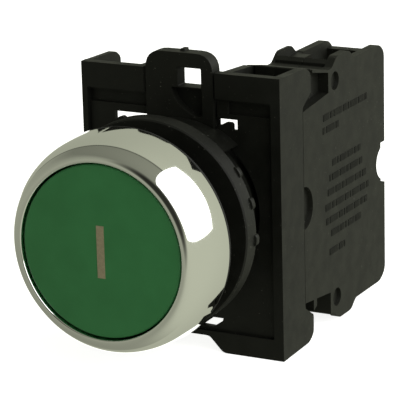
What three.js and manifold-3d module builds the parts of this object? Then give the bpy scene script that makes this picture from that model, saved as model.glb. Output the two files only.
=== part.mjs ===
// Momentary push button for a 22.5 mm panel hole: front element, three-bay fixing adapter
// and one normally-open contact block. Millimetres, +Z up, the button faces -Y.
// The origin is on the button's axis, in the plane of the panel's front face.
import * as THREE from 'three';
import { mergeVertices } from 'three/addons/utils/BufferGeometryUtils.js';
import Module from 'manifold-3d';

const wasm = await Module();
wasm.setup();

// ---------------------------------------------------------------- driving dimensions
const ROUND = 40;              // facets on large round parts
const SMALL_ROUND = 20;        // facets on small round parts
const FIT = 0.3;               // clearance between neighbouring pieces

const TRAVEL = 4.5;            // full stroke of the button
const BRIDGE_TRAVEL = 2.25;    // stroke of the contact bridge

// front element
const BEZEL_R = 14.85;
const BEZEL_BORE_R = 11.8;
const BEZEL_FRONT_Y = -8.25;
const BEZEL_REAR_Y = -0.7;
const CAP_R = 11.45;
const CAP_FACE_Y = -7.95;
const CAP_BACK_Y = -6.75;
const SHANK_R = 11.15;         // passes a 22.5 mm hole
const SHANK_BORE_R = 9.7;
const SHANK_END_Y = 18;
const GROOVE_Y = [13.9, 16.7];
const GROOVE_R = 10.45;
const GASKET_R = 14.75;
const PLUNGER_R = 9.4;
const PLUNGER_NECK_R = 8.6;
const PLUNGER_BORE_R = 7;
const PLUNGER_END_Y = 12;
const PLUNGER_PLATE_Y = -4.8;  // back of the plate that the return spring presses on
const SEAT_Y = [15.7, 17.5];   // rear bar that carries the return spring
const SEAT_HALF = [2.6, 9.75];

// fixing adapter
const MID_Z = -0.4;            // mid-height of the adapter and of the contact block
const ADAPTER_HALF_W = 15;
const ADAPTER_HALF_H = 19.55;
const ADAPTER_FRONT_Y = 14.1;
const PANEL_Y = [14.7, 15.5];  // recessed front panel of the frame
const WALL_REAR_Y = 21;
const LUG_REAR_Y = 23.6;
const COLLAR_Y = [4.9, 7.5];
const COLLAR_R = 14.5;
const NECK_R = 12.7;
const NECK_BORE_R = 11.45;
const NUB_ANGLES = [-3.8, 15.9, 33.6, 111, 129, 147, 176, 195, 214];
const DIVIDER_X = [5.6, 6.9];
const SLIDE_HALF_W = 5.1;
const SLIDE_Y = [14.2, 16.4];
const SLIDE_TOP_Z = 21.55;

// contact block
const BLOCK_X = [5.7, 14.9];
const BLOCK_MID_X = 10.3;
const SEAM = 0.1;              // joint line between the two housing shells
const SHELL_WALL = 1.2;
const BLOCK_FRONT_Y = 21.3;
const BLOCK_REAR_Y = 48.2;
const STEP_Y = 29.4;
const POCKET_Y = [31.6, 37.5, 46.2];   // open pocket: front, terminal part, rear
const CHAMBER_HALF_H = 9.6;
const TERMINAL_Z = 12.7;       // height of each terminal screw above or below the middle
const BRIDGE_Y = [30, 30.8];
const TIP_T = 0.8;
const FIXED_FRONT_Y = BRIDGE_Y[1] + 2 * TIP_T + BRIDGE_TRAVEL + FIT / 2;
const FIXED_Y = [FIXED_FRONT_Y, FIXED_FRONT_Y + 0.8];
const PLATE_Y = [40, 40.8];    // terminal plate that the wire is clamped on
const CLAMP_TRAVEL = 1.2;
const CLAMP_Y = [42.8, 43.9];

// ---------------------------------------------------------------- solids from three.js shapes
function trianglesOf(geometry) {
  const g = geometry.clone();
  g.deleteAttribute('normal');
  g.deleteAttribute('uv');
  const merged = mergeVertices(g, 1e-4);
  const index = merged.index.array;
  const kept = [];
  for (let i = 0; i < index.length; i += 3) {
    const [a, b, c] = [index[i], index[i + 1], index[i + 2]];
    if (a !== b && b !== c && c !== a) kept.push(a, b, c);
  }
  return { points: merged.attributes.position.array, kept };
}

function volumeOf(points, kept) {
  const [a, b, c] = [new THREE.Vector3(), new THREE.Vector3(), new THREE.Vector3()];
  let sum = 0;
  for (let i = 0; i < kept.length; i += 3) {
    a.fromArray(points, 3 * kept[i]);
    b.fromArray(points, 3 * kept[i + 1]);
    c.fromArray(points, 3 * kept[i + 2]);
    sum += a.dot(b.cross(c)) / 6;
  }
  return sum;
}

function solid(geometry) {
  const { points, kept } = trianglesOf(geometry);
  if (volumeOf(points, kept) < 0) kept.reverse();
  return new wasm.Manifold(new wasm.Mesh({
    numProp: 3,
    vertProperties: new Float32Array(points),
    triVerts: new Uint32Array(kept),
  }));
}

function geometryOf(body) {
  const mesh = body.getMesh();
  const g = new THREE.BufferGeometry();
  g.setAttribute('position', new THREE.BufferAttribute(new Float32Array(mesh.vertProperties), 3));
  g.setIndex(new THREE.BufferAttribute(new Uint32Array(mesh.triVerts), 1));
  g.computeVertexNormals();
  return g;
}

const box = ([x0, x1], [y0, y1], [z0, z1]) => solid(
  new THREE.BoxGeometry(x1 - x0, y1 - y0, z1 - z0)
    .translate((x0 + x1) / 2, (y0 + y1) / 2, (z0 + z1) / 2));

// a closed [radius, y] outline turned about a line parallel to Y
function turned(outline, { segments = ROUND, x = 0, z = 0 } = {}) {
  const points = [...outline, outline[0]].map(([r, y]) => new THREE.Vector2(r, y));
  return solid(new THREE.LatheGeometry(points, segments).translate(x, 0, z));
}

const ring = (inner, outer, [y0, y1], place) => turned(
  [[inner, y0], [outer, y0], [outer, y1], [inner, y1]], place);

const rod = (radius, [y0, y1], place = {}) => solid(
  new THREE.CylinderGeometry(radius, radius, y1 - y0, place.segments ?? SMALL_ROUND)
    .translate(place.x ?? 0, (y0 + y1) / 2, place.z ?? 0));

// outline points are [u, v] or [u, v, corner radius]
function outlineShape(points) {
  const shape = new THREE.Shape();
  points.forEach(([u, v, radius = 0], i) => {
    const corner = new THREE.Vector2(u, v);
    const before = new THREE.Vector2(...points.at(i - 1).slice(0, 2));
    const after = new THREE.Vector2(...points[(i + 1) % points.length].slice(0, 2));
    const from = before.sub(corner).setLength(radius).add(corner);
    const to = after.sub(corner).setLength(radius).add(corner);
    if (i === 0) shape.moveTo(from.x, from.y);
    else shape.lineTo(from.x, from.y);
    if (radius > 0) shape.quadraticCurveTo(u, v, to.x, to.y);
  });
  shape.closePath();
  return shape;
}

function extruded(shape, depth) {
  return new THREE.ExtrudeGeometry(shape, { depth, bevelEnabled: false, curveSegments: 4 });
}

// outline in X and Z, thick along Y
const plateY = (points, [y0, y1]) => solid(
  extruded(outlineShape(points), y1 - y0).rotateX(Math.PI / 2).translate(0, y1, 0));

// outline in Y and Z, thick along X
const plateX = (points, [x0, x1]) => solid(
  extruded(outlineShape(points), x1 - x0)
    .applyMatrix4(new THREE.Matrix4().makeBasis(
      new THREE.Vector3(0, 1, 0), new THREE.Vector3(0, 0, 1), new THREE.Vector3(1, 0, 0)))
    .translate(x0, 0, 0));

const joined = (...bodies) => bodies.reduce((a, b) => a.add(b));
const cut = (body, ...tools) => tools.reduce((a, b) => a.subtract(b), body);

// a [y, height] outline of the upper half, mirrored about the mid-height
const aboutMiddle = (upper) => [
  ...upper.map(([y, h, radius]) => [y, MID_Z + h, radius]),
  ...upper.toReversed().map(([y, h, radius]) => [y, MID_Z - h, radius]),
];

const radians = (degrees) => degrees * Math.PI / 180;

// a block turned about the button's axis to the given angle, spanning radii and widths
const spoke = (angle, [r0, r1], width, [y0, y1]) => solid(
  new THREE.BoxGeometry(r1 - r0, y1 - y0, width)
    .translate((r0 + r1) / 2, (y0 + y1) / 2, 0)
    .rotateY(-radians(angle)));

// ---------------------------------------------------------------- springs
class Helix extends THREE.Curve {
  constructor(radius, [y0, y1], turns, x, z) {
    super();
    Object.assign(this, { radius, y0, y1, turns, x, z });
  }

  getPoint(t, target = new THREE.Vector3()) {
    const a = t * this.turns * 2 * Math.PI;
    return target.set(
      this.x + this.radius * Math.cos(a),
      this.y0 + (this.y1 - this.y0) * t,
      this.z + this.radius * Math.sin(a));
  }
}

function coil(radius, wireR, [y0, y1], turns, { x = 0, z = 0 } = {}) {
  const path = new Helix(radius, [y0 + wireR, y1 - wireR], turns, x, z);
  const section = new THREE.Shape().absarc(0, 0, wireR, 0, 2 * Math.PI);
  return solid(new THREE.ExtrudeGeometry(section, {
    steps: Math.round(turns * 12), extrudePath: path, curveSegments: 3,
  }));
}

// ---------------------------------------------------------------- materials
const material = (color, roughness, metalness = 0) =>
  new THREE.MeshStandardMaterial({ color, roughness, metalness });

const CHROME = () => material(0xdfe2e4, 0.08, 1);
const GREEN = () => material(0x1f6b33, 0.42);
const LEGEND = () => material(0x9a917c, 0.5);
const BLACK = () => material(0x202120, 0.5);
const HOUSING = () => material(0x2a2b27, 0.55);
const RUBBER = () => material(0x151515, 0.8);
const WHITE_PLASTIC = () => material(0xd8d6cd, 0.5);
const SPRING_STEEL = () => material(0xb9bcc0, 0.3, 1);
const BRASS = () => material(0xc9a55a, 0.3, 1);
const SILVER = () => material(0xd9dadb, 0.2, 1);
const ZINC = () => material(0xaeb1b4, 0.35, 1);

const group = new THREE.Group();

function place(name, body, finish) {
  const mesh = new THREE.Mesh(geometryOf(body), finish());
  mesh.name = name;
  group.add(mesh);
}

// ---------------------------------------------------------------- front element
function bezelRing() {
  const crown = 5.4;
  const shoulderY = BEZEL_FRONT_Y + crown;
  const lipR = BEZEL_BORE_R + 0.3;
  const dome = Array.from({ length: 9 }, (_, i) => {
    const a = radians(90 * i / 8);
    return [lipR + (BEZEL_R - lipR) * Math.cos(a), shoulderY - crown * Math.sin(a)];
  });
  const shell = turned([
    [BEZEL_R, BEZEL_REAR_Y], ...dome,
    [BEZEL_BORE_R, BEZEL_FRONT_Y], [BEZEL_BORE_R, -3.6], [12.6, -3.6], [12.6, -6],
    [13.5, -4.6], [13.6, BEZEL_REAR_Y],
  ]);
  const notch = (angle, width, depth) =>
    spoke(angle, [13, 16], width, [BEZEL_REAR_Y - depth, 1]);
  return cut(shell, notch(102, 2.5, 0.6), notch(-33, 1.7, 0.8));
}

function operatorBody() {
  const webY = [CAP_BACK_Y + TRAVEL + FIT, -0.9];   // the cap stops just clear of this web
  const body = turned([
    [PLUNGER_NECK_R + FIT, webY[0]], [11.7, webY[0]], [11.7, -3.4], [13.2, -3.4],
    [13.2, -0.65], [SHANK_R, -0.65], [SHANK_R, GROOVE_Y[0]], [GROOVE_R, GROOVE_Y[0]],
    [GROOVE_R, GROOVE_Y[1]], [SHANK_R, GROOVE_Y[1]], [SHANK_R - 0.4, SHANK_END_Y],
    [SHANK_BORE_R, SHANK_END_Y], [SHANK_BORE_R, webY[1]], [PLUNGER_NECK_R + FIT, webY[1]],
  ]);
  const antiRotationLug = box([-1.5, 1.5], [-0.65, 2.4], [SHANK_R - 0.8, 11.9]);
  const seatSlots = box([-SEAT_HALF[0] - FIT, SEAT_HALF[0] + FIT], [SEAT_Y[0] - FIT, 19],
    [-SEAT_HALF[1] - FIT, SEAT_HALF[1] + FIT]);
  return cut(body.add(antiRotationLug), seatSlots);
}

function panelGasket() {
  const washer = ring(11.35, GASKET_R, [-0.6, 0]);
  const key = spoke(102, [13.9, 14.7], 1.9, [-1.1, -0.3]);
  const lugRelief = box([-1.8, 1.8], [-2, 1], [10, 12.2]);
  return cut(joined(washer, key), lugRelief);
}

function buttonCap() {
  const edge = 0.35;
  const disc = turned([
    [0, CAP_BACK_Y], [CAP_R, CAP_BACK_Y], [CAP_R, CAP_FACE_Y + edge],
    [CAP_R - edge, CAP_FACE_Y], [0, CAP_FACE_Y],
  ]);
  const boss = ring(2.6, 3.8, [CAP_BACK_Y - 0.2, -5.9], { segments: 24 });
  return joined(disc, boss);
}

function arcPoints([cx, cz], radiusX, radiusZ, from, to, steps) {
  return Array.from({ length: steps + 1 }, (_, i) => {
    const a = radians(from + (to - from) * i / steps);
    return [cx + radiusX * Math.cos(a), cz + radiusZ * Math.sin(a)];
  });
}

// one plain upright bar, raised as a thin print on the cap
function legendBar() {
  const [width, height] = [1.1, 7];
  const print = [CAP_FACE_Y - 0.12, CAP_FACE_Y - 0.02];
  return box([-width / 2, width / 2], print, [-height / 2, height / 2]);
}

function plunger() {
  const cup = turned([
    [0, -6.6], [PLUNGER_NECK_R, -6.6], [PLUNGER_NECK_R, -0.6], [PLUNGER_R, -0.6],
    [PLUNGER_R, 1.2], [8.7, 1.2], [8.7, 2.4], [PLUNGER_R, 2.4],
    [PLUNGER_R, PLUNGER_END_Y], [PLUNGER_BORE_R, PLUNGER_END_Y],
    [PLUNGER_BORE_R, PLUNGER_PLATE_Y], [0, PLUNGER_PLATE_Y],
  ]);
  const capSocket = ring(2.3, 4.1, [-7, -5.6], { segments: 24 });
  const springGuide = rod(3, [PLUNGER_PLATE_Y - 0.1, -2.4]);
  const legSlots = box([-4.2, 4.2], [8.5, 13], [-11, 11]);
  return cut(joined(cup, springGuide), capSocket, legSlots);
}

const plungerSeal = () => ring(8.85, 9.6, [1.35, 2.25]);

function springSeat() {
  const [halfX, halfZ] = SEAT_HALF;
  return cut(
    joined(
      box([-halfX, halfX], SEAT_Y, [-halfZ, halfZ]),
      rod(5.6, SEAT_Y, { segments: 32 }),
      rod(3.3, [SEAT_Y[0] - 3, SEAT_Y[0] + 0.1], { segments: 24 })),
    rod(2, [0, 30], { segments: 24 }));
}

// ---------------------------------------------------------------- fixing adapter
function sideWall(x) {
  return plateX(aboutMiddle([
    [ADAPTER_FRONT_Y, ADAPTER_HALF_H, 0.6], [22.4, ADAPTER_HALF_H - 0.25, 0.8],
    [LUG_REAR_Y, ADAPTER_HALF_H - 1.3, 0.4], [LUG_REAR_Y, 15.7], [WALL_REAR_Y, 14.1],
  ]), x);
}

// see-through windows beside the neck, the right one with a rounded nub standing in it,
// a drain notch below and two blind slots above
function panelWindows() {
  const through = [14, 16];
  const blind = [14, PANEL_Y[1] - 0.3];
  const left = box([-10.3, -5.05], through, [7, 12.5]);
  const right = box([5.3, 8.4], through, [11.4, 12.9]);
  const nub = plateY([
    [5.2, 9], [7.6, 9], [7.6, 12.35, 0.4], [6.5, 12.4, 0.4], [5.9, 11.9, 0.3], [5.2, 11.9],
  ], through);
  const drain = plateY([[2.4, -16.5], [4.1, -15.2], [5.6, -15.2], [5.5, -15.6], [4.1, -16.55]],
    through);
  const slots = [[-14.2, -5.4], [7, 13.6]].map((x) => box(x, blind, [13.6, 15.3]));
  return [left, cut(right, nub), drain, ...slots];
}

function adapterFrame() {
  const [low, high] = [MID_Z - ADAPTER_HALF_H, MID_Z + ADAPTER_HALF_H];
  const plateOutline = [
    [-ADAPTER_HALF_W, low], [-5.8, low, 0.6], [-3.7, low + 2.2], [3.7, low + 2.2],
    [5.8, low, 0.6], [ADAPTER_HALF_W, low], [ADAPTER_HALF_W, high], [-ADAPTER_HALF_W, high],
  ];
  const frontBand = plateY(plateOutline, [ADAPTER_FRONT_Y, PANEL_Y[1]]);
  const recess = plateY([
    [-14.2, low + 2.9], [13.6, low + 2.9], [13.6, high - 3.5], [-14.2, high - 3.5],
  ], [10, PANEL_Y[0]]);
  const panel = cut(frontBand, recess, ...panelWindows());
  const walls = joined(
    sideWall([-ADAPTER_HALF_W, -14.2]), sideWall([13.7, ADAPTER_HALF_W]));
  const dividers = [1, -1].flatMap((up) => [DIVIDER_X, DIVIDER_X.map((x) => -x).toReversed()]
    .map((x) => plateX([
      [15.2, MID_Z + 14.1 * up], [22.9, MID_Z + 14.1 * up],
      [22.9, MID_Z + 18.9 * up], [15.2, MID_Z + 19.4 * up],
    ], x)));
  const neck = turned([
    [NECK_BORE_R, COLLAR_Y[0]], [COLLAR_R - 0.2, COLLAR_Y[0]], [COLLAR_R, COLLAR_Y[0] + 0.2],
    [COLLAR_R, COLLAR_Y[1]], [NECK_R, COLLAR_Y[1] + 0.3], [NECK_R, PANEL_Y[1]],
    [NECK_BORE_R, PANEL_Y[1]],
  ]);
  const neckSide = box([5, 14], [COLLAR_Y[1] + 0.6, PANEL_Y[0]], [-13, 9.5]);
  const nubs = NUB_ANGLES.map((angle) =>
    spoke(angle, [COLLAR_R - 0.6, COLLAR_R + 0.4], 1.2, [COLLAR_Y[1] - 0.9, COLLAR_Y[1] + 0.3]));
  const slideChannel = box([-SLIDE_HALF_W - FIT, SLIDE_HALF_W + FIT], [13.9, 30], [9, 30]);
  const bore = rod(NECK_BORE_R, [0, SHANK_END_Y + FIT], { segments: ROUND });
  const plate = cut(joined(panel, walls, ...dividers), bore);
  return cut(joined(plate, cut(neck, neckSide), ...nubs), slideChannel);
}

function lockingSlide() {
  const w = SLIDE_HALF_W;
  const plate = plateY([
    [-w, 8], [w, 8], [w, SLIDE_TOP_Z, 2.6], [-w, SLIDE_TOP_Z, 2.6],
  ], SLIDE_Y);
  const gateMark = box([-0.2, 0.5], [SLIDE_Y[0] + 1, SLIDE_Y[1]], [SLIDE_TOP_Z - 0.3, SLIDE_TOP_Z + 0.3]);
  const toolHole = box([-0.2, 3.3], [10, 20], [16.9, 19.5]);
  const scoop = plateY([
    [-1.1, 16.7], [3.4, 16.7], [3.4, 13], [-0.2, 13], [-0.4, 15],
  ], [13, SLIDE_Y[0] + 1.3]);
  const forkBore = rod(GROOVE_R + FIT, [10, 20], { segments: ROUND });
  return cut(joined(plate, gateMark), toolHole, scoop, forkBore);
}

// ---------------------------------------------------------------- contact block
function blockSolid() {
  const [outerX, slopeEndY] = [BLOCK_X[1], STEP_Y + 0.1];
  const body = plateX(aboutMiddle([
    [BLOCK_FRONT_Y, 13.45], [STEP_Y, 14.3], [STEP_Y, 17.45], [30.5, 17.5, 0.3],
    [32.2, 18.85, 0.5], [36.2, 18.85, 0.6], [37.8, 17.55, 0.4], [46.5, 17.55, 0.9],
    [BLOCK_REAR_Y, 16.3, 0.8],
  ]), BLOCK_X);
  const head = plateX([
    [22.6, 12.8], [22.6, 18.65, 0.3], [slopeEndY, 17.05], [slopeEndY, 12.8],
  ], [7.2, 13.3]);
  const headFoot = plateX([
    [23.2, 12.8], [23.2, 18.4], [slopeEndY, 17.05], [slopeEndY, 12.8],
  ], [BLOCK_X[0], 7.3]);
  const lip = plateX([
    [24.35, 17.8], [24.35, 18.25], [slopeEndY, 17.05], [slopeEndY, 16.7],
  ], [7.2, outerX]);
  const hook = plateX([[23.9, -13.5], [24.9, -13.5], [24.9, -15.2], [23.9, -15.7]],
    [outerX - SHELL_WALL, outerX]);
  const nose = box([7.4, 13.2], [18.4, BLOCK_FRONT_Y + 0.1], [MID_Z - 8, MID_Z + 8]);
  return joined(body, head, headFoot, lip, hook, nose);
}

function blockHollows() {
  const [x0, x1] = [BLOCK_X[0] + SHELL_WALL, BLOCK_X[1] - SHELL_WALL];
  const chamber = box([x0, x1], [22.6, 43.4],
    [MID_Z - CHAMBER_HALF_H, MID_Z + CHAMBER_HALF_H]);
  const noseBore = box([8.6, 12], [19.6, 23], [MID_Z - 4, MID_Z + 4]);
  const plungerPort = box([7, 9.4], [17, 20], [MID_Z - 1.8, MID_Z + 1.8]);
  const stemRun = box([7, 12], [19.6, 23], [MID_Z - 1.8, MID_Z + 1.8]);
  const rearNotch = joined(
    box([0, 20], [46.8, 50], [MID_Z - 3.05, MID_Z + 3.05]),
    plateX(arcPoints([BLOCK_REAR_Y, MID_Z], 2.9, 2.6, 90, 270, 10), [0, 20]));
  const latchRecess = plateX(arcPoints([BLOCK_FRONT_Y, MID_Z], 2.7, 3, -90, 90, 12),
    [BLOCK_X[1] - 0.7, 20]);
  const [pocketFrontY, terminalFrontY, pocketRearY] = POCKET_Y;
  const finX = BLOCK_X[0] + 0.4;
  const perSide = [1, -1].flatMap((sign) => {
    const span = (a, b) => [MID_Z + sign * a, MID_Z + sign * b].toSorted((p, q) => p - q);
    const screwZ = MID_Z + sign * TERMINAL_Z;
    return [
      box([8.5, x1], [pocketFrontY, terminalFrontY + 0.1], span(14.6, 22)),
      box([finX, x1], [pocketFrontY, 38.3], span(17.45, 22)),
      box([finX, x1], [STEP_Y - 1, pocketFrontY - 0.6], span(17.5, 22)),
      box([x0, x1], [terminalFrontY, pocketRearY], span(8.8, 22)),
      box([x0, x1], [pocketRearY - 0.1, 50], span(16.4, 22)),
      box([x0 + 0.6, x1 - 0.6], [34, 40.4], span(9, 10.8)),
      rod(2.9, [45, 50], { x: BLOCK_MID_X, z: screwZ }),
      solid(new THREE.CylinderGeometry(1.3, 1.3, 1.2, SMALL_ROUND).rotateZ(Math.PI / 2)
        .translate(BLOCK_X[1], 31.5, MID_Z + sign * 15.55)),
    ];
  });
  return [chamber, noseBore, plungerPort, stemRun, rearNotch, latchRecess, ...perSide];
}

function housingShells() {
  const housing = cut(blockSolid(), ...blockHollows());
  const half = (x) => box(x, [0, 60], [-30, 30]);
  const split = BLOCK_MID_X + SEAM / 2;
  return {
    contact_housing_left: housing.intersect(half([0, split - SEAM])),
    contact_housing_right: housing.intersect(half([split, 20])),
  };
}

// carriage with a window that holds the contact bridge and its spring
function contactPlunger() {
  const stem = box([7.3, 9.1], [PLUNGER_END_Y + FIT, 23.4], [MID_Z - 1.5, MID_Z + 1.5]);
  const carriage = box([7.3, 13], [22.9, 33], [MID_Z - 3, MID_Z + 3]);
  const window = box([8.5, 20], [25, BRIDGE_Y[1] + 0.1], [MID_Z - 4, MID_Z + 4]);
  const tail = rod(1.2, [32.9, 34.6], { x: BLOCK_MID_X, z: MID_Z });
  return joined(stem, cut(carriage, window), tail);
}

function contactBridge() {
  const strip = box([9, 12.4], BRIDGE_Y, [MID_Z - 9, MID_Z + 9]);
  const waist = [10, -10].map((z) => box([11.9, 13], [29, 32], [MID_Z - 6 + z, MID_Z + 6 + z]));
  return cut(strip, ...waist);
}

const contactTip = (sign, y) => rod(1.2, [y, y + TIP_T],
  { x: BLOCK_MID_X, z: MID_Z + sign * 7.4, segments: 16 });

// strip that carries the fixed tip and bends back to the terminal plate
function fixedContact(sign) {
  const span = (a, b) => [MID_Z + sign * a, MID_Z + sign * b].toSorted((p, q) => p - q);
  const strip = joined(
    box([8.2, 12.4], FIXED_Y, span(5.8, 10.3)),
    box([8.2, 12.4], [FIXED_Y[0], PLATE_Y[1]], span(9.5, 10.3)),
    box([7.4, 13.2], PLATE_Y, span(9.5, 16)));
  return cut(strip, rod(1.8, [39, 42], { x: BLOCK_MID_X, z: MID_Z + sign * TERMINAL_Z }));
}

function terminalClamp(sign) {
  const z = MID_Z + sign * TERMINAL_Z;
  const saddle = box([7.4, 13.2], CLAMP_Y, [z - 2.6, z + 2.6]);
  const jaws = [[7.4, 8.1], [12.5, 13.2]].map((x) =>
    box(x, [PLATE_Y[1] + CLAMP_TRAVEL + 0.2, CLAMP_Y[1]], [z - 2.6, z + 2.6]));
  return cut(joined(saddle, ...jaws), rod(1.8, [40, 45], { x: BLOCK_MID_X, z }));
}

function terminalScrew(sign) {
  const at = { x: BLOCK_MID_X, z: MID_Z + sign * TERMINAL_Z };
  const headY = [CLAMP_Y[1] + 0.1, CLAMP_Y[1] + 2];
  const tipY = PLATE_Y[0] - 0.4;
  const blank = joined(rod(2.7, headY, at), rod(1.5, [tipY, headY[0] + 0.1], { ...at, segments: 12 }));
  const slots = [[0.4, 2.2], [2.2, 0.4]].map(([a, b]) => box(
    [at.x - a, at.x + a], [headY[1] - 0.9, 50], [at.z - b, at.z + b]));
  return cut(blank, ...slots);
}

// ---------------------------------------------------------------- assembly
place('bezel_ring', bezelRing(), CHROME);
place('operator_body', operatorBody(), BLACK);
place('panel_gasket', panelGasket(), RUBBER);
place('button_cap', buttonCap(), GREEN);
place('legend_bar', legendBar(), LEGEND);
place('plunger', plunger(), WHITE_PLASTIC);
place('plunger_seal', plungerSeal(), RUBBER);
place('return_spring', coil(4, 0.35, [PLUNGER_PLATE_Y + 0.1, SEAT_Y[0] - 0.1], 8), SPRING_STEEL);
place('spring_seat', springSeat(), BLACK);

place('adapter_frame', adapterFrame(), BLACK);
place('locking_slide', lockingSlide(), BLACK);

for (const [name, body] of Object.entries(housingShells())) place(name, body, HOUSING);
place('contact_plunger', contactPlunger(), WHITE_PLASTIC);
place('contact_bridge', contactBridge(), BRASS);
place('contact_spring', coil(1, 0.2, [25.1, BRIDGE_Y[0] - 0.1], 4, { x: 10.6, z: MID_Z }),
  SPRING_STEEL);
place('plunger_return_spring', coil(1.9, 0.25, [33.2, 43.2], 6, { x: BLOCK_MID_X, z: MID_Z }),
  SPRING_STEEL);
for (const [side, sign] of [['upper', 1], ['lower', -1]]) {
  place(`bridge_tip_${side}`, contactTip(sign, BRIDGE_Y[1] + 0.02), SILVER);
  place(`fixed_tip_${side}`, contactTip(sign, FIXED_Y[0] - TIP_T - 0.02), SILVER);
  place(`fixed_contact_${side}`, fixedContact(sign), BRASS);
  place(`terminal_clamp_${side}`, terminalClamp(sign), ZINC);
  place(`terminal_screw_${side}`, terminalScrew(sign), ZINC);
}

export default group;
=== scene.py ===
"""Visual model of a panel push button: chrome ring, green cap, fixing adapter and contact block."""

import math

import bmesh
import bpy
from mathutils import Matrix, Vector

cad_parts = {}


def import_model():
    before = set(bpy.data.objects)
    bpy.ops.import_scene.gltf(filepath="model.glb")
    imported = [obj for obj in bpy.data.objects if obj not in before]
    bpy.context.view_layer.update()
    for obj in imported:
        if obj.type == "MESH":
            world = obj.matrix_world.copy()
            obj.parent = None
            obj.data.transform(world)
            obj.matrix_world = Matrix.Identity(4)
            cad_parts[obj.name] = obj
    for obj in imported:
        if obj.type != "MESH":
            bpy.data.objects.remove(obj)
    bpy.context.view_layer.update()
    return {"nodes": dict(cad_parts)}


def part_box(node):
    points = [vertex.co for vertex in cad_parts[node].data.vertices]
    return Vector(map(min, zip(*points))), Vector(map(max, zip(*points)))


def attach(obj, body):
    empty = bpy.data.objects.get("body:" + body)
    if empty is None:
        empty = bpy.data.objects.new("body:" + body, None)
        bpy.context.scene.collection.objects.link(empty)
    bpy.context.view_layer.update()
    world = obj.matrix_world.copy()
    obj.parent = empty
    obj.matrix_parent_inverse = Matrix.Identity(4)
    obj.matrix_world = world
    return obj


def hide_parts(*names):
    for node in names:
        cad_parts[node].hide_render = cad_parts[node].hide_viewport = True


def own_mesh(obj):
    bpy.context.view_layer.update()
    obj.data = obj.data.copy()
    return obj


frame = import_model()

# ------------------------------------------------------------------ sizes, in millimetres
MM = 0.001
ROUND = 160                      # facets round a large turned piece
FINE = 64                        # facets round a small turned piece
TURN = 2 * math.pi


def corners(node):
    """Lowest and highest corner of a CAD node, in millimetres."""
    return [[c / MM for c in corner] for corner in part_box(node)]


def span(node, axis):
    low, high = corners(node)
    return low["xyz".index(axis)], high["xyz".index(axis)]


BEZEL_R = span("bezel_ring", "x")[1]
BEZEL_Y = span("bezel_ring", "y")
CAP_R = span("button_cap", "x")[1] + 0.13
CAP_Y = span("button_cap", "y")
GASKET_R = span("panel_gasket", "x")[1]
SHELL_Y = span("operator_body", "y")
PLUNGER_R = span("plunger", "x")[1]
PLUNGER_Y = span("plunger", "y")
SEAT_Y = span("spring_seat", "y")
SEAT_X = 2.6
SEAT_Z = span("spring_seat", "z")[1]
FRAME_X = span("adapter_frame", "x")
FRAME_Z = span("adapter_frame", "z")
COLLAR_Y = (span("adapter_frame", "y")[0], span("adapter_frame", "y")[0] + 2.6)
LUG_REAR_Y = span("adapter_frame", "y")[1]
MID_Z = (FRAME_Z[0] + FRAME_Z[1]) / 2
SLIDE_X = span("locking_slide", "x")
SLIDE_Y = span("locking_slide", "y")
SLIDE_Z = span("locking_slide", "z")
BLOCK_X = (span("contact_housing_left", "x")[0], span("contact_housing_right", "x")[1])
BLOCK_SPLIT = (span("contact_housing_left", "x")[1], span("contact_housing_right", "x")[0])
BLOCK_REAR_Y = span("contact_housing_right", "y")[1]
BLOCK_MID_X = (BLOCK_X[0] + BLOCK_X[1]) / 2

BORE_R = BEZEL_R - 3.05          # inside of the chrome ring
FRONT_Y = 14.1                   # front plane of the adapter frame
PANEL_Y = (14.7, 15.5)           # its recessed panel
WALL_REAR_Y = 21.0
NECK_R, NECK_BORE_R = 12.7, 11.45
COLLAR_R = 14.5
BLOCK_FRONT_Y = BLOCK_REAR_Y - 26.9
STEP_Y = BLOCK_REAR_Y - 18.8
TERMINAL_Z = 12.7                # each terminal screw above or below the middle
SHELL_WALL = 1.2                 # thickness of the contact block's walls
NOTCH_ANGLE = 103                # where the ring's notch and the gasket's key stand, in degrees


# ------------------------------------------------------------------ mesh tools
def new_object(name, mesh):
    obj = bpy.data.objects.new(name, mesh)
    bpy.context.scene.collection.objects.link(obj)
    return obj


def object_from(name, points, faces):
    mesh = bpy.data.meshes.new(name)
    mesh.from_pydata(points, [], faces)
    mesh.update()
    return new_object(name, mesh)


def outward(obj):
    """Turns every face outward."""
    made = bmesh.new()
    made.from_mesh(obj.data)
    bmesh.ops.recalc_face_normals(made, faces=made.faces)
    made.to_mesh(obj.data)
    made.free()
    return obj


def turned(outline, steps=ROUND, x=0.0, z=0.0):
    """A closed outline of (radius, y) points turned about a line parallel to Y."""
    points, rows = [], []
    for radius, y in outline:
        if radius < 1e-6:
            rows.append([len(points)] * steps)
            points.append((x, y, z))
            continue
        rows.append(list(range(len(points), len(points) + steps)))
        for i in range(steps):
            a = TURN * i / steps
            points.append((x + radius * math.cos(a), y, z + radius * math.sin(a)))
    faces = []
    for k, row in enumerate(rows):
        below = rows[(k + 1) % len(rows)]
        for i in range(steps):
            ring = [row[i], row[(i + 1) % steps], below[(i + 1) % steps], below[i]]
            corner = [v for n, v in enumerate(ring) if v not in ring[:n]]
            if len(corner) > 2:
                faces.append(corner)
    return outward(object_from("turned", points, faces))


def ring(inner, outer, ys):
    return turned([(inner, ys[0]), (outer, ys[0]), (outer, ys[1]), (inner, ys[1])], FINE)


def rod(radius, ys, steps=FINE, **place):
    return turned([(0, ys[0]), (radius, ys[0]), (radius, ys[1]), (0, ys[1])], steps, **place)


def arc(centre, radii, start, end, steps):
    """Points on an ellipse from one angle to another, in degrees."""
    out = []
    for i in range(steps + 1):
        a = math.radians(start + (end - start) * i / steps)
        out.append((centre[0] + radii[0] * math.cos(a), centre[1] + radii[1] * math.sin(a)))
    return out


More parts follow.
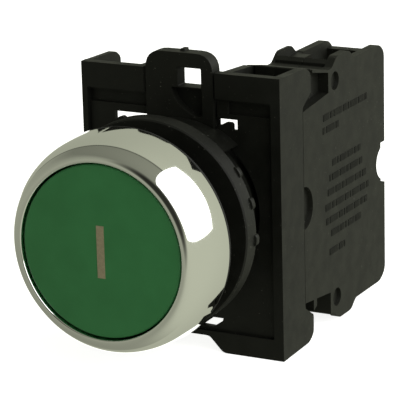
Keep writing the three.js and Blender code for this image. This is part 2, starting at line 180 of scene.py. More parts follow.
def rounded(outline, steps=6):
    """An outline whose points may carry a third number, the radius of that corner's curve."""
    flat = [Vector(point[:2]) for point in outline]
    out = []
    for i, point in enumerate(outline):
        reach = point[2] if len(point) > 2 else 0
        if not reach:
            out.append(tuple(flat[i]))
            continue
        here = flat[i]
        start = here + (flat[i - 1] - here).normalized() * reach
        end = here + (flat[(i + 1) % len(flat)] - here).normalized() * reach
        for k in range(steps + 1):
            t = k / steps
            out.append(tuple((1 - t) ** 2 * start + 2 * t * (1 - t) * here + t * t * end))
    return out


AXES = {"x": lambda u, v, w: (w, u, v), "y": lambda u, v, w: (u, w, v), "z": lambda u, v, w: (u, v, w)}


def plate(outline, axis, reach):
    """An outline extruded along an axis: YZ outlines along x, XZ along y, XY along z."""
    place, flat = AXES[axis], rounded(outline)
    count = len(flat)
    points = [place(u, v, w) for w in reach for u, v in flat]
    faces = [list(range(count)), list(range(count, 2 * count))]
    faces += [[i, (i + 1) % count, count + (i + 1) % count, count + i] for i in range(count)]
    return outward(object_from("plate", points, faces))


def box(x, y, z):
    return plate([(x[0], z[0]), (x[1], z[0]), (x[1], z[1]), (x[0], z[1])], "y", y)


def spoke(angle, radii, width, ys):
    """A block at an angle round the button's axis."""
    piece = box(radii, ys, (-width / 2, width / 2))
    piece.data.transform(Matrix.Rotation(-math.radians(angle), 4, "Y"))
    return piece


def bake(obj):
    """Replaces an object's mesh by what its modifiers make of it."""
    graph = bpy.context.evaluated_depsgraph_get()
    mesh = bpy.data.meshes.new_from_object(obj.evaluated_get(graph))
    obj.modifiers.clear()
    obj.data = mesh
    return obj


def combine(body, tools, operation):
    for tool in tools:
        step = body.modifiers.new("step", "BOOLEAN")
        step.operation, step.solver, step.object = operation, "EXACT", tool
        bake(body)
        bpy.data.objects.remove(tool)
    return body


def joined(body, *tools):
    return combine(body, tools, "UNION")


def cut(body, *tools):
    return combine(body, tools, "DIFFERENCE")


def tidied(obj):
    """Merges doubled points and flat neighbours left by cutting."""
    made = bmesh.new()
    made.from_mesh(obj.data)
    bmesh.ops.remove_doubles(made, verts=made.verts, dist=0.002)
    bmesh.ops.dissolve_limit(made, angle_limit=math.radians(0.4), verts=made.verts, edges=made.edges)
    bmesh.ops.dissolve_degenerate(made, dist=0.001, edges=made.edges)
    made.to_mesh(obj.data)
    made.free()
    return obj


def finished(obj, name, body, nodes, material, edge=0.0, sharp=35):
    """Rounds the edges, brings the piece to metres, ties it to its body and hides its CAD nodes."""
    if edge:
        tidied(obj)
        soften = obj.modifiers.new("edge", "BEVEL")
        soften.width, soften.segments = edge, 2
        soften.limit_method, soften.angle_limit = "ANGLE", math.radians(sharp)
        soften.use_clamp_overlap = True
        bake(obj)
    mesh = obj.data
    mesh.transform(Matrix.Scale(MM, 4))
    mesh.materials.clear()
    mesh.materials.append(material)
    for face in mesh.polygons:
        face.use_smooth, face.material_index = True, 0
    mesh.set_sharp_from_angle(angle=math.radians(sharp))
    if edge:
        weigh = obj.modifiers.new("normals", "WEIGHTED_NORMAL")
        weigh.keep_sharp = True
        bake(obj)
    obj.name = mesh.name = name
    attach(obj, body)
    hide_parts(*nodes)
    return obj


# ------------------------------------------------------------------ materials
class Surface:
    """A Principled material with helpers for the detail on it. Lengths are in millimetres."""

    def __init__(self, name, colour, roughness, metallic=0.0, specular=0.5):
        self.material = bpy.data.materials.new(name)
        self.material.use_nodes = True
        self.tree = self.material.node_tree
        self.shader = self.tree.nodes["Principled BSDF"]
        self.shader.inputs["Base Color"].default_value = (*colour, 1)
        self.shader.inputs["Roughness"].default_value = roughness
        self.shader.inputs["Metallic"].default_value = metallic
        self.shader.inputs["Specular IOR Level"].default_value = specular
        self.place = self.tree.nodes.new("ShaderNodeTexCoord").outputs["Object"]
        self.normal = None

    def noise(self, size, detail=3.0, stretch=(1, 1, 1)):
        mapping = self.tree.nodes.new("ShaderNodeMapping")
        mapping.inputs["Scale"].default_value = stretch
        self.tree.links.new(self.place, mapping.inputs["Vector"])
        node = self.tree.nodes.new("ShaderNodeTexNoise")
        node.inputs["Scale"].default_value = 1 / (size * MM)
        node.inputs["Detail"].default_value = detail
        self.tree.links.new(mapping.outputs["Vector"], node.inputs["Vector"])
        return node.outputs["Fac"]

    def ramp(self, value, low, high, stops=(0.35, 0.65)):
        node = self.tree.nodes.new("ShaderNodeMapRange")
        node.inputs["From Min"].default_value, node.inputs["From Max"].default_value = stops
        node.inputs["To Min"].default_value, node.inputs["To Max"].default_value = low, high
        self.tree.links.new(value, node.inputs["Value"])
        return node.outputs["Result"]

    def roughness(self, size, low, high, stretch=(1, 1, 1)):
        self.tree.links.new(self.ramp(self.noise(size, stretch=stretch), low, high),
                            self.shader.inputs["Roughness"])
        return self

    def colours(self, size, first, second, stops=(0.35, 0.65), stretch=(1, 1, 1), detail=3.0):
        mix = self.tree.nodes.new("ShaderNodeMix")
        mix.data_type = "RGBA"
        self.tree.links.new(self.ramp(self.noise(size, detail, stretch), 0, 1, stops),
                            mix.inputs["Factor"])
        below = self.shader.inputs["Base Color"]
        if below.is_linked:
            self.tree.links.new(below.links[0].from_socket, mix.inputs["A"])
        else:
            mix.inputs["A"].default_value = (*first, 1)
        mix.inputs["B"].default_value = (*second, 1)
        self.tree.links.new(mix.outputs["Result"], below)
        return self

    def bump(self, size, height, stretch=(1, 1, 1)):
        node = self.tree.nodes.new("ShaderNodeBump")
        node.inputs["Distance"].default_value = height * MM
        node.inputs["Strength"].default_value = 1.0
        self.tree.links.new(self.noise(size, 2.0, stretch), node.inputs["Height"])
        if self.normal:
            self.tree.links.new(self.normal, node.inputs["Normal"])
        self.normal = node.outputs["Normal"]
        self.tree.links.new(self.normal, self.shader.inputs["Normal"])
        return self


def chrome():
    """Polished plating: nearly a mirror, with a faint ripple and hairline haze."""
    look = Surface("chrome_plating", (0.86, 0.86, 0.85), 0.05, metallic=1.0)
    look.roughness(6, 0.035, 0.075)
    return look.bump(5, 0.002).material


def green_plastic():
    """Satin moulded green with a very fine grain."""
    green, shade = (0.036, 0.205, 0.066), (0.031, 0.185, 0.058)
    look = Surface("green_plastic", green, 0.42, specular=0.4)
    look.colours(4, green, shade).roughness(1.5, 0.38, 0.48)
    return look.bump(0.12, 0.004).material


def legend_ink():
    """Pad-printed ink, slightly uneven."""
    ink, thin = (0.36, 0.30, 0.20), (0.29, 0.25, 0.165)
    look = Surface("legend_ink", ink, 0.5, specular=0.3)
    return look.colours(0.35, ink, thin).bump(0.15, 0.006).material


def moulded_black(name, colour, paler, grain=0.16, height=0.011, specular=0.25):
    """Spark-eroded black plastic: fine grain, patches of sheen and a few pale specks of dust."""
    look = Surface(name, colour, 0.5, specular=specular)
    look.colours(3.0, colour, paler).roughness(2.2, 0.46, 0.58)
    look.colours(0.22, colour, (0.09, 0.088, 0.078), stops=(0.81, 0.86), detail=0.0)
    return look.bump(2.5, 0.02).bump(grain, height).material


def rubber():
    look = Surface("gasket_rubber", (0.012, 0.012, 0.012), 0.75, specular=0.3)
    look.colours(1.5, (0.012, 0.012, 0.012), (0.02, 0.02, 0.019)).roughness(1, 0.68, 0.82)
    return look.bump(0.2, 0.01).material


def white_plastic():
    look = Surface("white_plastic", (0.72, 0.70, 0.64), 0.45)
    look.colours(3, (0.72, 0.70, 0.64), (0.66, 0.64, 0.57)).roughness(1, 0.4, 0.52)
    return look.bump(0.2, 0.006).material


def metal(name, colour, darker, roughness, stretch=(1, 1, 1)):
    look = Surface(name, colour, roughness, metallic=1.0)
    look.colours(0.8, colour, darker, stretch=stretch)
    look.roughness(0.5, roughness * 0.8, roughness * 1.3, stretch=stretch)
    return look.bump(0.25, 0.004, stretch=stretch).material


CHROME = chrome()
GREEN = green_plastic()
INK = legend_ink()
BLACK = moulded_black("black_plastic", (0.0055, 0.0059, 0.0044), (0.0075, 0.0079, 0.0060))
HOUSING = moulded_black("housing_plastic", (0.0070, 0.0075, 0.0054), (0.0095, 0.0100, 0.0074))
# the relief bars' darker colour is painted shade, standing in for the shading on moulded lettering
PAINTED_SHADE_RELIEF = moulded_black("relief_painted_shade", (0.0028, 0.0030, 0.0024), (0.0042, 0.0044, 0.0036), grain=0.3,
                       height=0.03, specular=0.12)
RUBBER = rubber()
WHITE = white_plastic()
WIRE = metal("spring_wire", (0.55, 0.56, 0.57), (0.42, 0.43, 0.44), 0.28, stretch=(1, 4, 1))
BRASS = metal("stamped_brass", (0.72, 0.53, 0.25), (0.60, 0.42, 0.18), 0.3)
SILVER = metal("contact_silver", (0.86, 0.85, 0.82), (0.74, 0.73, 0.70), 0.25)
PLATED = metal("plated_steel", (0.62, 0.63, 0.63), (0.50, 0.51, 0.52), 0.3)


# ------------------------------------------------------------------ front element
def bezel_ring():
    """Domed ring with a notch at the top of its rear edge and a dimple at the side."""
    crown = 5.4
    shoulder = BEZEL_Y[0] + crown
    lip = BORE_R + 0.3
    dome = arc((lip, shoulder), (BEZEL_R - 0.22 - lip, -crown), 10, 90, 34)
    rim = arc((BEZEL_R - 0.15, BEZEL_Y[1] - 0.15), (0.15, 0.15), 90, 0, 4)
    inner = arc((BORE_R + 0.22, BEZEL_Y[0] + 0.22), (0.22, 0.22), 270, 180, 6)
    back = [(BORE_R, -3.6), (12.6, -3.6), (12.6, -6), (13.5, -4.6), (13.6, BEZEL_Y[1])]
    shell = turned([*rim, *dome, *inner, *back], steps=224)
    notch = spoke(NOTCH_ANGLE, (13, 16), 2.9, (BEZEL_Y[1] - 0.65, 1))
    dimple = turned(arc((0, 0), (0.85, 0.8), -90, 90, 10), steps=24)
    dimple.data.transform(Matrix.Rotation(math.radians(-90), 4, "Z"))
    dimple.data.transform(Matrix.Translation((14.5, BEZEL_Y[1], 0)))
    dimple.data.transform(Matrix.Rotation(math.radians(33), 4, "Y"))
    return finished(cut(shell, notch, dimple), "chrome_bezel", "fixed", ["bezel_ring"],
                    CHROME, sharp=38)


def button_cap():
    """Flat disc with a small round edge, and the boss that snaps into the plunger."""
    edge = 0.35
    rim = arc((CAP_R - edge, CAP_Y[0] + edge), (edge, -edge), 0, 90, 6)
    back = CAP_Y[1] - 0.85
    disc = turned([(0, back), (CAP_R, back), *rim, (0, CAP_Y[0])], steps=192)
    boss = ring(2.6, 3.8, (back - 0.2, CAP_Y[1]))
    return finished(joined(disc, boss), "green_cap", "button", ["button_cap"], GREEN)


def legend():
    """One plain upright bar, raised as a thin print on the cap."""
    width, height = 1.1, 7.0
    print_y = (CAP_Y[0] - 0.05, CAP_Y[0] + 0.02)
    outline = [(i * width / 2, k * height / 2) for i, k in ((-1, -1), (1, -1), (1, 1), (-1, 1))]
    finished(plate(outline, "y", print_y), "legend_bar_print", "button", ["legend_bar"],
             INK)


def operator_body():
    """Threadless shank with the flange that rests on the panel and slots for the spring seat."""
    web = (-1.95, -0.9)
    flange_r, shank_r, groove_r, bore_r, neck_r = 13.2, 11.15, 10.45, 9.7, 8.9
    groove = (13.9, 16.7)
    body = turned([
        (neck_r, web[0]), (11.7, web[0]), (11.7, SHELL_Y[0]), (flange_r, SHELL_Y[0]),
        (flange_r, -0.65), (shank_r, -0.65), (shank_r, groove[0]), (groove_r, groove[0]),
        (groove_r, groove[1]), (shank_r, groove[1]), (shank_r - 0.4, SHELL_Y[1]),
        (bore_r, SHELL_Y[1]), (bore_r, web[1]), (neck_r, web[1]),
    ])
    lug = box((-1.5, 1.5), (-0.65, 2.4), (shank_r - 0.8, 11.9))
    slots = box((-SEAT_X - 0.3, SEAT_X + 0.3), (15.4, 19), (-SEAT_Z - 0.3, SEAT_Z + 0.3))
    return finished(cut(joined(body, lug), slots), "operator_shell", "fixed", ["operator_body"],
                    BLACK, edge=0.12)


def panel_gasket():
    """Flat washer with a rounded lip and a key."""
    lip = arc((GASKET_R - 0.3, -0.3), (0.3, 0.3), -90, 90, 8)
    washer = turned([(11.35, -0.6), *lip, (11.35, 0)])
    key = spoke(NOTCH_ANGLE, (13.9, 14.74), 2.75, (-1.25, -0.3))
    relief = box((-1.8, 1.8), (-2, 1), (10, 12.2))
    return finished(cut(joined(washer, key), relief), "gasket", "fixed", ["panel_gasket"],
                    RUBBER)


def plunger():
    """Cup that carries the cap, with a groove for the seal round it."""
    neck_r, bore_r, groove_r, plate_y = 8.6, 7.0, 8.7, -4.8
    groove = (1.2, 2.4)
    front = PLUNGER_Y[0]
    cup = turned([
        (0, front), (neck_r, front), (neck_r, -0.6), (PLUNGER_R, -0.6),
        (PLUNGER_R, groove[0]), (groove_r, groove[0]), (groove_r, groove[1]), (PLUNGER_R, groove[1]),
        (PLUNGER_R, PLUNGER_Y[1]), (bore_r, PLUNGER_Y[1]), (bore_r, plate_y), (0, plate_y),
    ], steps=128)
    socket = ring(2.3, 4.1, (front - 0.4, -5.6))
    guide = rod(3, (plate_y - 0.1, -2.4))
    legs = box((-4.2, 4.2), (8.5, 13), (-11, 11))
    finished(cut(joined(cup, guide), socket, legs), "plunger_cup", "button", ["plunger"],
             WHITE, edge=0.1)
    seal_y = span("plunger_seal", "y")
    mid, half = sum(seal_y) / 2, (seal_y[1] - seal_y[0]) / 2
    inner_r, outer_r = 8.85, span("plunger_seal", "x")[1]
    lip = arc((outer_r - 0.3, mid), (0.3, half), -90, 90, 10)
    seal = turned([(inner_r, mid + half), (inner_r, mid - half), *lip], steps=128)
    return finished(seal, "seal_ring", "button", ["plunger_seal"], RUBBER)


def spring_seat():
    """Cross bar that the return spring pushes on."""
    bar_y = (SEAT_Y[1] - 1.8, SEAT_Y[1])
    seat = joined(box((-SEAT_X, SEAT_X), bar_y, (-SEAT_Z, SEAT_Z)), rod(5.6, bar_y),
                  rod(3.3, (SEAT_Y[0], bar_y[0] + 0.1)))
    return finished(cut(seat, rod(2, (0, 30))), "seat_bar", "fixed", ["spring_seat"],
                    BLACK, edge=0.15)


def coil(node, wire, turns, body):
    """A compression spring with closed ends that fills its CAD node's box."""
    (x0, y0, z0), (x1, y1, z1) = corners(node)
    x, z, radius = (x0 + x1) / 2, (z0 + z1) / 2, (z1 - z0) / 2 - wire
    steps, sides = round(turns * 40), 12
    ends = 0.75                  # turns that lie closed at each end
    low, high = y0 + wire, y1 - wire
    pitch_end = 2 * wire * ends
    points, faces = [], []
    for i in range(steps + 1):
        t = i / steps
        turn = t * turns
        if turn < ends:
            y = low + pitch_end * turn / ends
        elif turn > turns - ends:
            y = high - pitch_end * (turns - turn) / ends
        else:
            y = low + pitch_end + (high - low - 2 * pitch_end) * (turn - ends) / (turns - 2 * ends)
        a = turn * TURN
        for k in range(sides):
            b = k / sides * TURN
            r = radius + wire * math.cos(b)
            points.append((x + r * math.cos(a), y + wire * math.sin(b), z + r * math.sin(a)))
    for i in range(steps):
        for k in range(sides):
            n = (k + 1) % sides
            faces.append([i * sides + k, i * sides + n, (i + 1) * sides + n, (i + 1) * sides + k])
    faces += [list(range(sides)), list(range(steps * sides, (steps + 1) * sides))]
    spring = finished(outward(object_from(node, points, faces)), f"{node}_coil", body, [node],
                      WIRE)
    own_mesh(spring)


# ------------------------------------------------------------------ fixing adapter
def about_middle(upper):
    """A (y, height) outline of the upper half, mirrored about the mid-height."""
    top = [(y, MID_Z + h, *rest) for y, h, *rest in upper]
    bottom = [(y, MID_Z - h, *rest) for y, h, *rest in reversed(upper)]
    return top + bottom


def side_wall(x):
    """Side wall with a lug at the top and at the bottom."""
    half = (FRAME_Z[1] - FRAME_Z[0]) / 2
    return plate(about_middle([
        (FRONT_Y, half, 0.3), (22.4, half - 0.25, 0.9), (LUG_REAR_Y, half - 1.3, 0.5),
        (LUG_REAR_Y, 15.7, 0.3), (WALL_REAR_Y, 14.1, 0.4),
    ]), "x", x)


def adapter_frame():
    """Plate with a recessed panel, side walls, bay dividers, a neck and a collar."""
    low, high = FRAME_Z
    left, right = FRAME_X
    inner_left, inner_right = -14.2, 13.6
    divider_y = (15.2, 22.9)
    bump_angles = (-3.8, 15.9, 33.6, 111, 129, 147, 176, 195, 214)
    face = plate([
        (left, low), (-5.8, low, 0.6), (-3.7, low + 2.2, 0.5), (3.7, low + 2.2, 0.5),
        (5.8, low, 0.6), (right, low), (right, high), (left, high),
    ], "y", (FRONT_Y, PANEL_Y[1]))
    recess = plate([
        (inner_left, low + 2.9, 0.3), (inner_right, low + 2.9, 0.3),
        (inner_right, high - 3.5, 0.3), (inner_left, high - 3.5, 0.3),
    ], "y", (10, PANEL_Y[0]))
    nub = plate([(5.2, 9), (7.6, 9), (7.6, 12.35, 0.4), (6.5, 12.4, 0.4), (5.9, 11.9, 0.3),
                 (5.2, 11.9)], "y", (13, 17))
    blind = (14, PANEL_Y[1] - 0.3)
    windows = [
        box((-10.3, -5.05), (14, 16), (7, 12.5)),
        cut(box((5.3, 8.4), (14, 16), (11.4, 12.9)), nub),
        plate([(2.4, -16.5), (4.1, -15.2), (5.6, -15.2), (5.5, -15.6), (4.1, -16.55)], "y", (14, 16)),
        box((inner_left, -5.4), blind, (13.6, 15.3)),
        box((7, inner_right), blind, (13.6, 15.3)),
    ]
    body = cut(face, recess, *windows)
    body = joined(body, side_wall((left, inner_left)), side_wall((inner_right + 0.1, right)))
    for up in (1, -1):
        for x in ((5.6, 6.9), (-6.9, -5.6)):
            body = joined(body, plate([
                (divider_y[0], MID_Z + 14.1 * up), (divider_y[1], MID_Z + 14.1 * up, 0.4),
                (divider_y[1], MID_Z + 18.9 * up, 0.6), (divider_y[0], MID_Z + 19.4 * up),
            ], "x", x))
    body = cut(body, rod(NECK_BORE_R, (0, 18.3), ROUND))
    neck = turned([
        (NECK_BORE_R, COLLAR_Y[0]), (COLLAR_R - 0.2, COLLAR_Y[0]), (COLLAR_R, COLLAR_Y[0] + 0.2),
        (COLLAR_R, COLLAR_Y[1]), (NECK_R, COLLAR_Y[1] + 0.3), (NECK_R, PANEL_Y[1]),
        (NECK_BORE_R, PANEL_Y[1]),
    ])
    body = joined(body, cut(neck, box((5, 14), (COLLAR_Y[1] + 0.6, PANEL_Y[0]), (-13, 9.5))))
    for angle in bump_angles:
        bump = plate([(COLLAR_R - 1, -0.9), (COLLAR_R + 0.32, -0.8, 0.6), (COLLAR_R + 0.32, 0.8, 0.6),
                      (COLLAR_R - 1, 0.9)], "y", (COLLAR_Y[1] - 0.5, COLLAR_Y[1] + 0.3))
        bump.data.transform(Matrix.Rotation(-math.radians(angle), 4, "Y"))
        body = joined(body, bump)
    body = cut(body, box((SLIDE_X[0] - 0.3, SLIDE_X[1] + 0.3), (13.9, 30), (9, 30)))
    return finished(body, "mounting_adapter", "fixed", ["adapter_frame"], BLACK,
                    edge=0.14)


def locking_slide():
    """Fork that holds the shank, with a finger hole at its top."""
    left, right = SLIDE_X
    top = SLIDE_Z[1] - 0.3
    body = plate([(left, 8), (right, 8), (right, top, 2.6), (left, top, 2.6)], "y", SLIDE_Y)
    mark = box((-0.2, 0.5), (SLIDE_Y[0] + 1, SLIDE_Y[1]), (top - 0.3, SLIDE_Z[1]))
    hole = plate([(-0.2, 16.9, 0.15), (3.3, 16.9, 0.15), (3.3, 19.5, 0.15), (-0.2, 19.5, 0.15)], "y",
                 (10, 20))
    scoop = plate([(-1.3, 16.7, 0.3), (3.4, 16.7, 0.3), (3.4, 12.9, 0.5), (2.2, 12.9, 0.6),
                   (-0.6, 14.6, 1.5)], "y", (13, SLIDE_Y[0] + 1.3))
    bore = rod(10.75, (10, 20), ROUND)
    return finished(cut(joined(body, mark), hole, scoop, bore), "release_slide", "slide",
                    ["locking_slide"], BLACK, edge=0.14)


# ------------------------------------------------------------------ contact block
def block_solid():
    """The contact block as one closed solid, before it is hollowed and split."""
    slope_end = STEP_Y + 0.1
    outer = BLOCK_X[1]
    body = plate(about_middle([
        (BLOCK_FRONT_Y, 13.45), (STEP_Y, 14.3), (STEP_Y, 17.45), (30.5, 17.5, 0.3),
        (32.2, 18.85, 0.6), (36.2, 18.85, 0.7), (37.8, 17.55, 0.5), (46.5, 17.55, 0.9),
        (BLOCK_REAR_Y, 16.3, 0.9),
    ]), "x", BLOCK_X)
    head = plate([(22.6, 12.8), (22.6, 18.65, 0.3), (slope_end, 17.05), (slope_end, 12.8)], "x",
                 (7.2, 13.3))
    foot = plate([(23.2, 12.8), (23.2, 18.4), (slope_end, 17.05), (slope_end, 12.8)], "x",
                 (BLOCK_X[0], 7.3))
    lip = plate([(24.35, 17.8), (24.35, 18.25), (slope_end, 17.05), (slope_end, 16.7)], "x",
                (7.2, outer))
    hook = plate([(23.9, -13.5), (24.9, -13.5), (24.9, -15.2), (23.9, -15.7)], "x",
                 (outer - SHELL_WALL, outer))
    nose = box((7.4, 13.2), (18.4, BLOCK_FRONT_Y + 0.1), (MID_Z - 8, MID_Z + 8))
    return joined(body, head, foot, lip, hook, nose)


def block_hollows():
    """Everything that is cut from the contact block."""
    x0, x1 = BLOCK_X[0] + SHELL_WALL, BLOCK_X[1] - SHELL_WALL
    fin_x = BLOCK_X[0] + 0.4     # the left shell's outer wall is a thin fin above the pockets
    pocket_y, bay_y, bay_end_y = 31.6, 37.5, 46.2
    hollows = [
        box((x0, x1), (22.6, 43.4), (MID_Z - 9.6, MID_Z + 9.6)),
        box((8.6, 12), (19.6, 23), (MID_Z - 4, MID_Z + 4)),
        box((7, 9.4), (17, 20), (MID_Z - 1.8, MID_Z + 1.8)),
        box((7, 12), (19.6, 23), (MID_Z - 1.8, MID_Z + 1.8)),
        box((0, 20), (BLOCK_REAR_Y - 1.4, 50), (MID_Z - 3.05, MID_Z + 3.05)),
        plate(arc((BLOCK_REAR_Y, MID_Z), (2.9, 2.6), 90, 270, 20), "x", (0, 20)),
        plate(arc((BLOCK_FRONT_Y, MID_Z), (2.7, 3), -90, 90, 28), "x", (BLOCK_X[1] - 0.7, 20)),
    ]
    for s in (1, -1):
        def level(a, b):
            return sorted((MID_Z + s * a, MID_Z + s * b))

        hole = rod(1.3, (-0.6, 0.6), 40)
        hole.data.transform(Matrix.Rotation(math.radians(90), 4, "Z"))
        hole.data.transform(Matrix.Translation((BLOCK_X[1], 31.5, MID_Z + s * 15.55)))
        hollows += [
            box((8.5, x1), (pocket_y, bay_y + 0.1), level(14.6, 22)),
            box((fin_x, x1), (pocket_y, 38.3), level(17.45, 22)),
            box((fin_x, x1), (28, 31), level(17.5, 22)),
            box((x0, x1), (bay_y, bay_end_y), level(8.8, 22)),
            box((x0, x1), (bay_end_y - 0.1, 50), level(16.4, 22)),
            box((x0 + 0.6, x1 - 0.6), (34, 40.4), level(9, 10.8)),
            rod(2.9, (45, 50), x=BLOCK_MID_X, z=MID_Z + s * TERMINAL_Z),
            hole,
        ]
    return hollows


def housing_shells():
    """The two halves of the contact block's housing."""
    whole = cut(block_solid(), *block_hollows())
    other = new_object("other", whole.data.copy())
    left = combine(whole, [box((0, BLOCK_SPLIT[0]), (0, 60), (-30, 30))], "INTERSECT")
    right = combine(other, [box((BLOCK_SPLIT[1], 20), (0, 60), (-30, 30))], "INTERSECT")
    finished(left, "housing_left", "fixed", ["contact_housing_left"], HOUSING,
             edge=0.12)
    finished(right, "housing_right", "fixed", ["contact_housing_right"], HOUSING,
             edge=0.12)


def side_relief():
    """Rows of plain raised bars on the block's side, where a maker would mould its data, coloured
    darker than the housing as painted shade.
    """
    face, height, pitch, gap = BLOCK_X[1], 1.05, 2.0, 0.35
    sunk, proud, draft = 0.05, 0.07, 0.09
    rows = [(10.7, 27.6, 42.4), (8.9, 27.4, 32.6), (-8.8, 29.2, 34.8)]
    rows += [(3.8 - pitch * k, start, end) for k, (start, end) in enumerate(
        [(30.4, 39.8), (29.4, 40.4), (28.8, 41.6), (28.0, 42.6), (28.2, 42.0), (29.8, 40.2)])]
    lengths = (1.9, 0.8, 2.7, 1.3, 0.5, 2.2)
    points, faces = [], []
    for n, (z, start, end) in enumerate(rows):
        y, k = start, n
        while y < end - 0.3:
            stop = min(y + lengths[k % len(lengths)], end)
            first = len(points)
            for x, inset in ((face - sunk, 0), (face + proud, draft)):
                near, far = y + inset, stop - inset
                bottom, top = z - height / 2 + inset, z + height / 2 - inset
                points += [(x, near, bottom), (x, far, bottom), (x, far, top), (x, near, top)]
            faces += [[first + i for i in side] for side in (
                (3, 2, 1, 0), (4, 5, 6, 7), (0, 1, 5, 4), (1, 2, 6, 5), (2, 3, 7, 6), (3, 0, 4, 7))]
            y, k = stop + gap, k + 1
    # the bars take the darker relief material: painted shade
    finished(outward(object_from("relief", points, faces)), "housing_relief", "fixed",
             ["contact_housing_right"], PAINTED_SHADE_RELIEF)


def terminal_screws():
    """Cheese-head screws with a cross slot and a real thread."""
    for side in ("upper", "lower"):
        node = f"terminal_screw_{side}"
        (x0, y0, z0), (x1, y1, z1) = corners(node)
        x, z, radius = (x0 + x1) / 2, (z0 + z1) / 2, (x1 - x0) / 2
        head = y1 - 1.9
        core, crest, pitch = 1.22, 1.5, 0.5
        dome = arc((radius - 0.3, y1 - 0.3), (0.3, 0.3), 0, 90, 5)
        thread = []
        for k in range(int((head - y0) / pitch)):
            foot = y0 + pitch * k
            thread += [(crest, foot + 0.06), (crest, foot + 0.12), (core, foot + 0.4)]
        blank = turned([(0, y0), (1.2, y0), *thread, (crest, head), (radius, head), *dome, (0, y1)],
                       FINE, x=x, z=z)
        slots = [box((x - a, x + a), (y1 - 0.9, 60), (z - b, z + b))
                 for a, b in ((0.4, 2.2), (2.2, 0.4))]
        finished(cut(blank, *slots), f"{node}_turned", f"screw_{side}", [node], PLATED)


def carried_over():
    """CAD nodes whose shape is right keep it and get a better material."""
    looks = {
        WHITE: ["contact_plunger"],
        BRASS: ["contact_bridge", "fixed_contact_upper", "fixed_contact_lower"],
        SILVER: ["bridge_tip_upper", "bridge_tip_lower", "fixed_tip_upper", "fixed_tip_lower"],
        PLATED: ["terminal_clamp_upper", "terminal_clamp_lower"],
    }
    for look, nodes in looks.items():
        for node in nodes:
            for holder in frame["nodes"][node].material_slots:
                holder.material = look


# ------------------------------------------------------------------ stage
def direction(azimuth, elevation):
    """Unit vector towards a direction: azimuth 0 is towards -Y and 90 towards +X."""
    a, e = math.radians(azimuth), math.radians(elevation)
    return Vector((math.sin(a) * math.cos(e), -math.cos(a) * math.cos(e), math.sin(e)))


def camera():
    """Long lens, looking a little down on the button from its right."""
    azimuth, elevation, roll = 28.145, 15.937, -1.504
    data = bpy.data.cameras.new("camera")
    data.lens, data.sensor_width = 224.66, 36
    data.clip_start, data.clip_end = 0.01, 10
    viewer = bpy.data.objects.new("camera", data)
    viewer.location = (0.155303, -0.270984, 0.093748)
    back = direction(azimuth, elevation)
    right = Vector((math.cos(math.radians(azimuth)), math.sin(math.radians(azimuth)), 0))
    level = Matrix((right, back.cross(right), back)).transposed()
    viewer.matrix_world = (Matrix.Translation(viewer.location) @ level.to_4x4()
                           @ Matrix.Rotation(math.radians(roll), 4, "Z"))
    bpy.context.scene.collection.objects.link(viewer)
    bpy.context.scene.camera = viewer


def softbox(name, azimuth, elevation, width, height, radiance):
    """A rectangular light seen from the object at the given direction and angular size."""
    distance = 0.6
    data = bpy.data.lights.new(name, "AREA")
    data.shape = "RECTANGLE"
    data.size = 2 * distance * math.tan(math.radians(width / 2))
    data.size_y = 2 * distance * math.tan(math.radians(height / 2))
    data.energy = radiance * math.pi * data.size * data.size_y
    light = bpy.data.objects.new(name, data)
    towards = direction(azimuth, elevation)
    light.location = towards * distance
    light.rotation_mode = "QUATERNION"
    light.rotation_quaternion = towards.to_track_quat("Z", "Y")
    bpy.context.scene.collection.objects.link(light)


def floor():
    """Pale paper that lights nothing and isn't seen in reflections."""
    half, low = 4.0, (FRAME_Z[0] - 0.05) * MM
    piece = object_from("floor", [(-half, -half, low), (half, -half, low), (half, half, low),
                                  (-half, half, low)], [[0, 1, 2, 3]])
    look = Surface("floor_paper", (0.85, 0.85, 0.84), 0.9, specular=0.0)
    look.shader.inputs["Emission Color"].default_value = (1, 1, 1, 1)
    look.shader.inputs["Emission Strength"].default_value = 0.85
    piece.data.materials.append(look.material)
    piece.visible_glossy = piece.visible_diffuse = False


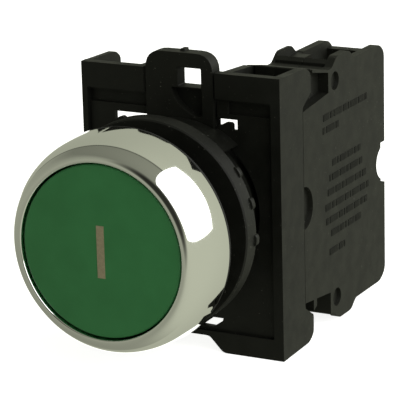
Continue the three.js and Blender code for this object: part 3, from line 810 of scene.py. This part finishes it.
def world():
    """Pale room with a dark patch where the photographer stands and a backdrop behind the object."""
    room = bpy.data.worlds.new("room")
    room.use_nodes = True
    tree = room.node_tree
    node, link = tree.nodes.new, tree.links.new
    way = node("ShaderNodeTexCoord").outputs["Generated"]
    split = node("ShaderNodeSeparateXYZ")
    link(way, split.inputs["Vector"])
    x, y, z = (split.outputs[axis] for axis in "XYZ")

    def band(value, start, end, low, high, kind="SMOOTHSTEP"):
        step = node("ShaderNodeMapRange")
        step.interpolation_type = kind
        for name, number in zip(("From Min", "From Max", "To Min", "To Max"), (start, end, low, high)):
            step.inputs[name].default_value = number
        link(value, step.inputs["Value"])
        return step.outputs["Result"]

    def maths(operation, first, second):
        step = node("ShaderNodeMath")
        step.operation = operation
        link(first, step.inputs[0])
        if isinstance(second, (int, float)):
            step.inputs[1].default_value = second
        else:
            link(second, step.inputs[1])
        return step.outputs["Value"]

    # the room's brightness by height, from the floor up
    shades = node("ShaderNodeValToRGB")
    link(band(z, -1, 1, 0, 1, "LINEAR"), shades.inputs["Fac"])
    stops = [(0.0, 0.30), (0.3, 0.34), (0.46, 0.42), (0.68, 0.34), (0.82, 0.22), (1.0, 0.24)]
    for n, (at, value) in enumerate(stops):
        stop = shades.color_ramp.elements[n] if n < 2 else shades.color_ramp.elements.new(at)
        stop.position = at
        stop.color = (value * 0.955, value, value * 0.77, 1)

    # a lighter backdrop behind the object and low on the right
    backdrop = node("ShaderNodeMix")
    backdrop.data_type = "RGBA"
    backdrop_y = 0.3
    behind = band(y, backdrop_y - 0.04, backdrop_y + 0.04, 0, 1)
    low_right = maths("MULTIPLY", band(z, -0.05, 0.12, 1, 0), band(x, -0.3, 0.4, 0, 1))
    link(maths("MAXIMUM", behind, low_right), backdrop.inputs["Factor"])
    link(shades.outputs["Color"], backdrop.inputs["A"])
    backdrop.inputs["B"].default_value = (0.44, 0.46, 0.355, 1)

    # the photographer's dark patch
    aim = node("ShaderNodeVectorMath")
    aim.operation = "DOT_PRODUCT"
    aim.inputs[1].default_value = direction(8, 12)
    link(way, aim.inputs[0])
    wide, narrow = math.cos(math.radians(36)), math.cos(math.radians(15))
    dark = band(aim.outputs["Value"], wide, narrow, 1.0, 0.07)

    # a thin dark line where the backdrop begins, gone low down, and a brighter right side
    off_line = maths("ABSOLUTE", maths("SUBTRACT", y, backdrop_y), 0)
    line = maths("MAXIMUM", band(off_line, 0.012, 0.04, 0.35, 1.0), band(z, 0.1, 0.3, 1.0, 0.0))
    right = band(x, -0.8, 0.9, 0.85, 1.2)
    shade = node("ShaderNodeVectorMath")
    shade.operation = "SCALE"
    link(backdrop.outputs["Result"], shade.inputs[0])
    link(maths("MULTIPLY", maths("MULTIPLY", dark, line), right), shade.inputs["Scale"])
    link(shade.outputs["Vector"], tree.nodes["Background"].inputs["Color"])
    bpy.context.scene.world = room


def lights():
    softbox("right_softbox", 92, 33, 98, 64, 1.9)
    softbox("left_paper", -137, -22, 45, 35, 1.0)


camera()
world()
lights()
floor()
bpy.context.scene.view_settings.view_transform = "Standard"

bezel_ring()
button_cap()
legend()
operator_body()
panel_gasket()
plunger()
spring_seat()
coil("return_spring", wire=0.35, turns=8, body="fixed")
adapter_frame()
locking_slide()
housing_shells()
side_relief()
coil("plunger_return_spring", wire=0.25, turns=6, body="fixed")
coil("contact_spring", wire=0.2, turns=4, body="carriage")
terminal_screws()
carried_over()
